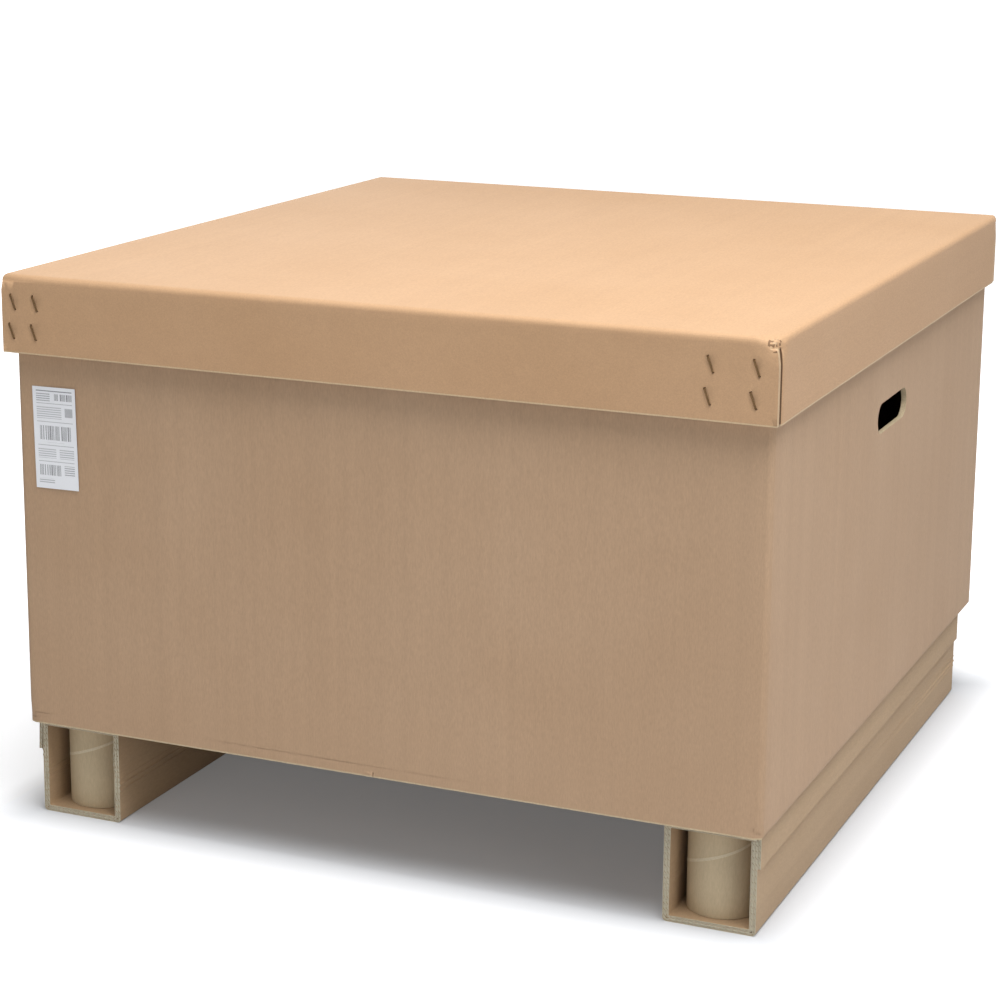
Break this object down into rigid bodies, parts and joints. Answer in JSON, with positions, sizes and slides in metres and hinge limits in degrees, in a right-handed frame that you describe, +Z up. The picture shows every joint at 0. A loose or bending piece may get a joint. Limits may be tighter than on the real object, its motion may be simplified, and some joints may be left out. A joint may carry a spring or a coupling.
{
  "type": "cardboard pallet box",
  "caption": "Heavy corrugated pallet box with a stapled telescoping lid, hand holes in its side walls and open fork runners with paper cores.",
  "frame": {"origin": "on the floor, under the middle of the footprint", "axes": "+Z up, -Y towards the front wall with the label, +X to the right"},
  "size_m": [1.018, 1.085, 0.7216],
  "materials": {
    "body_board": "matte kraft liner",
    "lid_board": "matte kraft liner",
    "runner_board": "matte kraft liner",
    "core_paper": "matte grey-brown wound paper",
    "staple_wire": "dark bronze coated wire",
    "label_paper": "smooth white label stock"
  },
  "bodies": {
    "box": {"body_box": "body_board", "label": "label_paper", "runner_left": "runner_board", "runner_right": "runner_board", "core_left_1": "core_paper", "core_left_2": "core_paper", "core_left_3": "core_paper", "core_left_4": "core_paper", "core_right_1": "core_paper", "core_right_2": "core_paper", "core_right_3": "core_paper", "core_right_4": "core_paper"},
    "lid": {"lid": "lid_board", "staple_back_left_lower_1": "staple_wire", "staple_back_left_lower_2": "staple_wire", "staple_back_left_upper_1": "staple_wire", "staple_back_left_upper_2": "staple_wire", "staple_back_right_lower_1": "staple_wire", "staple_back_right_lower_2": "staple_wire", "staple_back_right_upper_1": "staple_wire", "staple_back_right_upper_2": "staple_wire", "staple_front_left_lower_1": "staple_wire", "staple_front_left_lower_2": "staple_wire", "staple_front_left_upper_1": "staple_wire", "staple_front_left_upper_2": "staple_wire", "staple_front_right_lower_1": "staple_wire", "staple_front_right_lower_2": "staple_wire", "staple_front_right_upper_1": "staple_wire", "staple_front_right_upper_2": "staple_wire"}
  },
  "joints": [
    {"name": "lid_lift", "type": "slide", "parent": "box", "child": "lid", "axis": [0, 0, 1], "range_m": [0, 0.15]}
  ]
}
